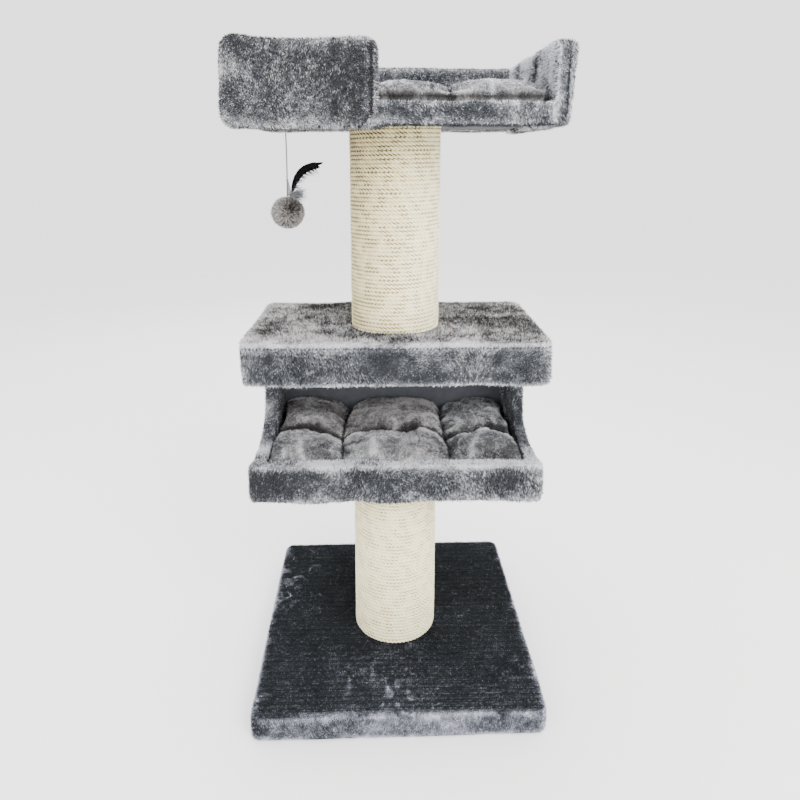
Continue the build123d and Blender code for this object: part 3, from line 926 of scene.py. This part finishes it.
def tufted_cushion(name, node, body, columns, rows, crest, seam_depth, sag, tone, contrast, warm):
    """A stuffed pad sewn down along lines: columns are the seams' x and slant, rows the seams' y.

    crest(x, y) gives the height of the puffs' tops, seam_depth how far the seams lie below it and sag
    how far the puffs fall towards them. tone(points) is the nap's middle value, contrast its patchiness
    and warm(points) the share of brown.
    """
    lo, hi = np.array(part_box(node))
    step = 4.5 * mm
    swell, inset, rim_rise = 9 * mm, 1 * mm, 28 * mm
    valley, shoulder, foot = 26 * mm, 10 * mm, 12 * mm     # how far a seam and the rim's roundings reach

    def arch(distance, reach):
        """A quarter round: 0 at no distance, and 1 past the reach."""
        return np.sqrt(1 - (1 - unit(distance / reach)) ** 2)

    def column_distance(x, y):
        return np.min([np.abs(x - place - slant * y) for place, slant in columns], axis=0)

    def fall(x, y):
        """0 in the middle of a puff, and 1 at the columns."""
        beside = np.minimum.reduce([column_distance(x, y), x - lo[0] + 25 * mm, hi[0] - x + 25 * mm])
        return (1 - unit(beside / (80 * mm))) ** 2

    def behind_row(x, y):
        """Distance behind the nearest row's seam, which bows back in the middle of the puffs."""
        away = [y + 1.3 * sag * fall(x, y) - row for row in rows]
        return min(away, key=lambda distance: np.abs(distance).sum())

    def ceiling(x, y):
        return crest(x, y) - sag * fall(x, y)

    def stray(at):
        """How far the seams stray from straight lines."""
        return 7 * mm * field(at * [1, 1, 0], 0.07)

    def seam_distance(x, y, astray):
        return np.minimum(column_distance(x + 0.6 * astray, y), np.abs(behind_row(x, y - astray)))

    xs = np.arange(lo[0] + inset, hi[0] - inset + step / 2, step)
    ys = np.arange(lo[1] + inset, hi[1] - inset + step / 2, step)
    gx, gy = np.meshgrid(xs, ys)
    flat = np.stack([gx, gy, gx * 0], -1).reshape(-1, 3)
    seam = seam_distance(gx, gy, stray(flat).reshape(gx.shape))
    border = np.minimum.reduce([gx - xs[0], xs[-1] - gx, gy - ys[0], ys[-1] - gy])
    lumps = (4 * mm * other_field(flat, 0.05)).reshape(gx.shape)
    full = ceiling(gx, gy) - swell - seam_depth * (1 - arch(seam, valley)) + lumps
    rim = lo[2] + rim_rise
    top_z = rim + (full - rim) * arch(border, shoulder)
    bottom_z = rim - (rim - lo[2]) * arch(border, foot)
    on_rim = (border < step * 0.4).ravel()
    mesh, verts = pad_mesh(name, gx, gy, top_z, bottom_z, on_rim)
    sewn = np.concatenate([seam.ravel() < step * 0.6, np.ones((~on_rim).sum(), bool)])
    mesh.vertices.foreach_set("co", inflate(mesh, sewn, swell, verts).ravel())
    mesh = evaluated(mesh, ("SUBSURF", {"levels": 1, "render_levels": 1}))
    points, normals = arrays(mesh)

    def folds(at):
        """1 along the crests of the slack cloth's folds, 0 elsewhere."""
        wide = 1 - np.abs(other_field(at * [1, 1, 0.3] + 0.9, 0.055, (1.8, 1, 1))) * 5
        narrow = 1 - np.abs(field(at * [1, 1, 0.3] + 0.7, 0.035, (1, 1.5, 1))) * 6
        return np.maximum(unit(wide), 0.6 * unit(narrow))

    def wrinkles(at):
        """1 in the narrow creases between the folds, 0 elsewhere."""
        narrow = 1 - np.abs(field(at * [1, 1, 0.3] + 0.5, 0.05, (1.3, 1, 1))) * 13
        return unit(narrow) * unit(0.4 + 1.5 * other_field(at, 0.04))

    upward = unit(normals[:, 2])
    x, y, _ = points.T
    by_column = column_distance(x, y) < np.abs(behind_row(x, y))
    gathers = np.where(by_column, field(points, 0.011, (3.5, 1, 1)), field(points, 0.011, (1, 3.5, 1)))
    fade = np.exp(-seam_distance(x, y, stray(points)) / (20 * mm))
    height = 2.4 * mm * gathers * fade + 4.5 * mm * folds(points) - 2.5 * mm * wrinkles(points)
    points += normals * (height * (0.25 + 0.75 * upward))[:, None]
    limit, ease = ceiling(points[:, 0], points[:, 1]), 6 * mm
    over = np.maximum(points[:, 2] - limit + ease, 0)
    points[:, 2] = np.where(over > 0, limit - ease * np.exp(-over / ease), points[:, 2])
    points[:, 2] = np.maximum(points[:, 2], lo[2])
    points = np.clip(points, lo - [1 * mm, 1 * mm, 0], hi + [1 * mm, 1 * mm, 4 * mm])
    mesh.vertices.foreach_set("co", points.ravel())

    def nap(at, facing):
        # painted highlight on the folds' crests and painted shade in the wrinkles
        value = tone(at) - 0.06 + contrast * patches(at, 0.04, 5.0) + 0.28 * folds(at) - 0.30 * wrinkles(at)
        x, y, _ = at.T
        behind = behind_row(x, y - stray(at))
        # a painted highlight on the front row's crest and a painted shadow just behind it
        value += 0.22 * line_at(behind, -13 * mm, 9 * mm) - 0.45 * line_at(behind, 5 * mm, 7 * mm)
        return value - 0.5 * line_at(seam_distance(x, y, stray(at)), 0, 4 * mm)

    obj = add_skin(name, mesh, body, "cushion_plush", nap(points, normals))
    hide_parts(node)
    add_pile(obj, body, "cushion_plush", nap, spacing=1.9 * mm, length=3.0 * mm, width=0.8 * mm,
             mottle=0.22, warm=warm, lean=0.9, keep=lambda at, facing: facing[:, 2] > 0)


def inflate(mesh, pinned, cap, start):
    """Blow the pad up with a cloth simulation and cap how far each point moves."""
    obj = bpy.data.objects.new("inflating", mesh)
    scene.collection.objects.link(obj)
    group = obj.vertex_groups.new(name="sewn")
    group.add([int(i) for i in np.nonzero(pinned)[0]], 1.0, "REPLACE")
    modifier = obj.modifiers.new("cloth", "CLOTH")
    settings = modifier.settings
    settings.use_pressure = True
    settings.uniform_pressure_force = 4.0
    settings.quality = 6
    settings.mass = 0.3
    settings.tension_stiffness = settings.compression_stiffness = 12
    settings.shear_stiffness = 6
    settings.bending_stiffness = 0.4
    settings.shrink_min = -0.12
    settings.vertex_group_mass = "sewn"
    settings.effector_weights.gravity = 0.0
    modifier.collision_settings.use_collision = False
    for number in range(1, 21):
        scene.frame_set(number)
    result = baked(obj)
    points, _ = arrays(result)
    bpy.data.meshes.remove(result)
    scene.frame_set(1)
    moved = points - start
    length = np.linalg.norm(moved, axis=1)
    scale = np.minimum(1, cap / np.maximum(length, 1e-9))
    return start + moved * scale[:, None]


def make_cushions():
    bed_top, house_back_top, house_front_top = 1.0905, 0.4735, 0.4650      # the tops of the puffs
    lip_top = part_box("bed_front_lip_cover")[1][2]

    def bed_crest(x, y):
        """Level, and lower beside the front wall."""
        return bed_top - 16 * mm * unit((-0.10 - y) / 0.05) ** 1.5

    def house_crest(x, y):
        """A high back row, and a lower front row."""
        front_row = house_front_top - 12 * mm * unit((-0.045 - y) / 0.05) ** 2
        back_row = house_back_top - 5 * mm * rising(x, 0.10, 0.008)
        return front_row + (back_row - front_row) * rising(y, 0.018, 0.012)

    def warm(points):
        """Brown on the left and in the middle, grey on the right and along the front."""
        x, y, z = points.T
        return 0.06 + 0.84 * falling(x, 0.09, 0.008) * rising(y, -0.01, 0.02)

    def bed_tone(points):
        """Light, with a shadow where the pad meets the low wall in front of it."""
        x, y, z = points.T
        return 0.65 - 0.85 * line_at(z, lip_top + 8 * mm, 2.2 * mm) * (y < -0.12)

    def house_tone(points):
        """The back row is lighter, the middle most of all, and the front row is darker on the left."""
        x, y, z = points.T
        back = rising(y, 0.02, 0.012)
        middle = falling(np.abs(x), 0.095, 0.008)
        left = falling(x, -0.10, 0.008)
        return 0.55 + back * (0.10 + 0.13 * middle) + (1 - back) * (0.06 * middle - 0.10 * left)

    tufted_cushion("bed_pad", "bed_cushion", "bed_pad", ((-0.055, 0), (0.08, 0)), (0.03,), bed_crest,
                   13 * mm, 9 * mm, bed_tone, 0.14, lambda points: 0.05)
    tufted_cushion("house_pad", "condo_cushion", "condo_pad", ((-0.099, 0.057), (0.0965, 0.028)),
                   (0.012,), house_crest, 18 * mm, 17 * mm, house_tone, 0.31, warm)


# ---------------------------------------------------------------- toy
def cord_curve(name, places, radius, roundness):
    """A round NURBS curve of the cord's material through these control points."""
    data = bpy.data.curves.new(name, "CURVE")
    data.dimensions = "3D"
    data.bevel_depth, data.bevel_resolution = radius, roundness
    data.materials.append(materials["cord"])
    spline = data.splines.new("NURBS")
    spline.points.add(len(places) - 1)
    for point, place in zip(spline.points, places):
        point.co = (*place, 1)
    spline.order_u = 3
    return data, spline


def make_toy():
    knot_lo, knot_hi = (Vector(v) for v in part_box("toy_knot"))
    ball_lo, ball_hi = (Vector(v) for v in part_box("toy_ball"))
    ball, radius = (ball_lo + ball_hi) / 2, (ball_hi.z - ball_lo.z) / 2

    top = (-0.166, -0.168, 1.0055)
    route = [top, (-0.1653, -0.168, 0.95895), (-0.167, -0.168, 0.9124)]
    thickness, length = 2.0 * mm, 0.0931
    data, spline = cord_curve("toy_string", route, thickness / 2, 3)
    data.use_fill_caps = True
    spline.use_endpoint_u = True
    spline.resolution_u = 24
    string = add_object("toy_string", data, "toy")
    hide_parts("toy_cord")

    knot = spun_knot((knot_lo + knot_hi) / 2, (knot_hi.z - knot_lo.z) / 2)
    pieces = [knot, make_tag(), make_pompom(ball, radius), *make_feather(ball, radius)]


def spun_knot(centre, radius):
    """An overhand knot's lump: a tight trefoil of the cord."""
    t = np.linspace(0, 2 * np.pi, 18, endpoint=False)
    size = radius * 0.42
    trefoil = stacked(0.42 * (np.sin(t) + 2 * np.sin(2 * t)), 0.42 * (np.cos(t) - 2 * np.cos(2 * t)),
                      -np.sin(3 * t)) * size + np.array(centre)
    data, spline = cord_curve("toy_knot_lump", trefoil, 0.8 * mm, 2)
    spline.use_cyclic_u = True
    knot = add_object("toy_knot_lump", data, "toy_pivot")
    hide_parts("toy_knot")
    return knot


def spikes(name, roots, tips, widths, body, tints, tint=None):
    """Many closed, tapering fibres, each from its root to its tip; tint picks each one's material."""
    along = normalised(tips - roots)
    helper = np.where(np.abs(along[:, 2:3]) < 0.8, [[0, 0, 1.0]], [[1.0, 0, 0]])
    side = normalised(np.cross(along, helper))
    other = np.cross(along, side)
    widths = widths.reshape(-1, 1)
    rings = [roots + widths * (math.cos(t) * side + math.sin(t) * other)
             for t in (0, 2 * math.pi / 3, 4 * math.pi / 3)]
    verts = np.stack(rings + [tips], axis=1).reshape(-1, 3)
    pattern = np.array([(0, 1, 3), (1, 2, 3), (2, 0, 3), (2, 1, 0)])
    faces = (np.arange(len(roots))[:, None, None] * 4 + pattern).reshape(-1, 3)
    mesh = bpy.data.meshes.new(name)
    mesh.vertices.add(len(verts))
    mesh.vertices.foreach_set("co", verts.ravel())
    mesh.loops.add(faces.size)
    mesh.loops.foreach_set("vertex_index", faces.ravel().astype(np.int32))
    mesh.polygons.add(len(faces))
    mesh.polygons.foreach_set("loop_start", np.arange(0, faces.size, 3, dtype=np.int32))
    for material in tints:
        mesh.materials.append(material)
    if tint is not None:
        mesh.polygons.foreach_set("material_index", np.repeat(tint, len(pattern)).astype(np.int32))
    mesh.update(calc_edges=True)
    return add_object(name, mesh, body)


def make_pompom(centre, radius):
    """A ball of dense yarn ends, with painted shade in the creases between its locks."""
    directions = normalised(np.random.default_rng(5).normal(size=(11000, 3)))
    random = np.random.default_rng(6)
    c = np.array(centre)
    locks = np.stack([field(directions * 0.03 + k, 0.016) for k in (0.2, 0.9, 1.6)], axis=1)
    lean = normalised(directions + 0.35 * locks + 0.16 * random.normal(size=directions.shape))
    roots = c + directions * radius * 0.55
    uneven = 1 + 0.05 * field(directions * 0.03 + 0.4, 0.03)
    reach = radius * random.uniform(0.36, 0.50, len(lean)) * uneven
    tips = roots + lean * reach[:, None] * [1.05, 1.0, 0.93]
    # painted shade in the creases between the locks, and a painted shadow on one side
    crease = 1 - unit(np.abs(field(directions * 0.03, 0.014)) * 5)
    shadow = unit(directions @ np.array([0.50, -0.62, 0.60])) ** 5
    value = 0.62 - 0.28 * crease - 0.50 * shadow - 0.12 * directions[:, 0] \
        + random.uniform(-0.42, 0.36, len(roots))
    names = pile_tints["taupe"]
    tint = (np.clip(value, 0, 0.999) * len(names)).astype(int)
    ball = spikes("toy_pompom", roots, tips, 1.0 * mm * random.uniform(0.7, 1.3, len(roots)), "toy",
                  [materials[name] for name in names], tint)
    smooth_shade(ball.data)
    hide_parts("toy_ball")
    return ball


def make_tag():
    """A satin ribbon, doubled over the cord and widening to its foot."""
    lo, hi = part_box("toy_tag")
    left, height, middle_y = lo[0] - 1 * mm, hi[2] - lo[2], (lo[1] + hi[1]) / 2
    foot, head, half = 8 * mm, 3.2 * mm, 0.25 * mm
    columns, rows = 4, 12
    bm = bmesh.new()
    grid = {}
    for j in range(rows + 1):
        for i in range(columns + 1):
            u, v = i / columns, j / rows
            x = left + u * (foot + (head - foot) * v ** 0.8) + 0.6 * mm * math.sin(v * 3)
            y = middle_y + 1.2 * mm * math.sin(v * 2.2 + u * 1.5)
            for k, side in enumerate((-half, half)):
                grid[i, j, k] = bm.verts.new((x, y + side, lo[2] + height * v))
    for j in range(rows):
        for i in range(columns):
            for k in (0, 1):
                corners = [grid[i, j, k], grid[i + 1, j, k], grid[i + 1, j + 1, k], grid[i, j + 1, k]]
                bm.faces.new(corners if k == 0 else corners[::-1])
    border = [(i, 0) for i in range(columns)] + [(columns, j) for j in range(rows)]
    border += [(i, rows) for i in range(columns, 0, -1)] + [(0, j) for j in range(rows, 0, -1)]
    for (i, j), (p, q) in zip(border, border[1:] + border[:1]):
        bm.faces.new((grid[p, q, 0], grid[i, j, 0], grid[i, j, 1], grid[p, q, 1]))
    mesh = bpy.data.meshes.new("toy_ribbon")
    bm.to_mesh(mesh)
    bm.free()
    smooth_shade(mesh)
    mesh.materials.append(materials["ribbon"])
    tag = add_object("toy_ribbon", mesh, "toy")
    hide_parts("toy_tag")
    return tag


def make_feather(ball, radius):
    """A curved black vane with ragged barbs below it, and a tuft of grey down at its foot."""
    random = np.random.default_rng(8)
    foot = np.array([ball.x + 7 * mm, ball.y - 1 * mm, ball.z + radius - 1 * mm])
    control = np.array([(0, 0, 0), (0.5, 0, 22), (9, 0, 49), (34, 0, 47), (49, 0, 50)]) * mm

    def quill(t):
        t = np.asarray(t, float).reshape(-1, 1)
        return foot + sum(math.comb(4, k) * t ** k * (1 - t) ** (4 - k) * control[k] for k in range(5))

    def across(t):
        """Along the quill, and at right angles to it towards the feather's hollow side."""
        ahead = normalised(quill(np.asarray(t) + 0.01) - quill(np.asarray(t) - 0.01))
        return ahead, stacked(ahead[:, 2], 0 * ahead[:, 0], -ahead[:, 0])

    count = 2600
    t = random.uniform(0.06, 0.97, count)
    ahead, hollow = across(t)
    belly = np.sin(unit(t * 1.02) * np.pi) ** 0.6
    inner = random.random(count) < 0.75
    ragged = inner & (random.random(count) < 0.16) & (t < 0.75) & (np.sin(t * 60) > -0.2)
    reach = np.where(inner, 14.5 * belly + 1, 5 * belly + 0.6) * mm * random.uniform(0.75, 1.0, count)
    reach *= np.where(ragged, random.uniform(1.2, 1.8, count), np.where(t > 0.8, 0.55, 1.0))
    way = hollow * np.where(inner, 1.0, -1.0)[:, None] \
        + ahead * np.where(ragged, 0.45, np.where(inner, 1.0, 1.7))[:, None]
    way = normalised(way + random.normal(size=way.shape) * [0.07, 0.10, 0.07])
    roots = quill(t)
    shaft = quill(np.linspace(0, 0.97, 26))
    roots_all = np.concatenate([roots, shaft[:-1]])
    tips_all = np.concatenate([roots + way * reach[:, None], shaft[1:] * 1.4 - shaft[:-1] * 0.4])
    tips_all[:, 0] = np.minimum(tips_all[:, 0], ball.x + 57 * mm)
    widths = np.concatenate([np.where(ragged, 0.5, 0.9) * mm, np.linspace(0.9, 0.5, 25) * mm])
    tint = np.concatenate([np.where(ragged & (random.random(count) < 0.5), 1, 0), np.zeros(25, int)])
    feather = spikes("toy_black_feather", roots_all, tips_all, widths, "toy",
                     [materials["black_feather"], materials["pile_grey_2"]], tint)
    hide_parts("toy_feather")

    count = 360
    start = foot + np.array([3, 0, 1]) * mm + random.normal(size=(count, 3)) * np.array([3, 2, 1.8]) * mm
    angle = random.normal(0.2, 0.55, count)
    spread = stacked(np.cos(angle), random.normal(0, 0.45, count), np.sin(angle))
    ends = start + normalised(spread) * random.uniform(7, 23, (count, 1)) * mm
    lock = np.floor((angle + 2) * 4.5)
    shade = np.where(random.random(count) < 0.8, lock % 3, random.integers(0, 3, count)).astype(int)
    fluff = spikes("toy_down", start, ends, np.full(count, 0.4 * mm), "toy",
                   [materials["fluff"], materials["pile_grey_0"], materials["pile_grey_2"]], shade)
    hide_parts("toy_fluff")
    return feather, fluff


# ---------------------------------------------------------------- build
make_camera()
make_lights()
make_floor()
materials = make_materials()
dress_cad_nodes()
make_toy()
make_base()
# shade: painted shade, darker towards the top of each post, under what stands above it, and on its left,
# away from the key light; the lower post is paler overall
make_post("lower_sisal", "lower_post_rope", 1.0, lambda x, z: -0.45 - 0.1 * x + 0.35 * z ** 4, 2.0)
make_post("upper_sisal", "upper_post_rope", 2.0, lambda x, z: 0.58 * z - 0.75 * x - 0.38 + 0.45 * z ** 4,
          3.2)
make_house()
make_roof()
make_bed_panel()
make_bed_walls()
make_bed_wing()
make_floor_plush()
make_cushions()
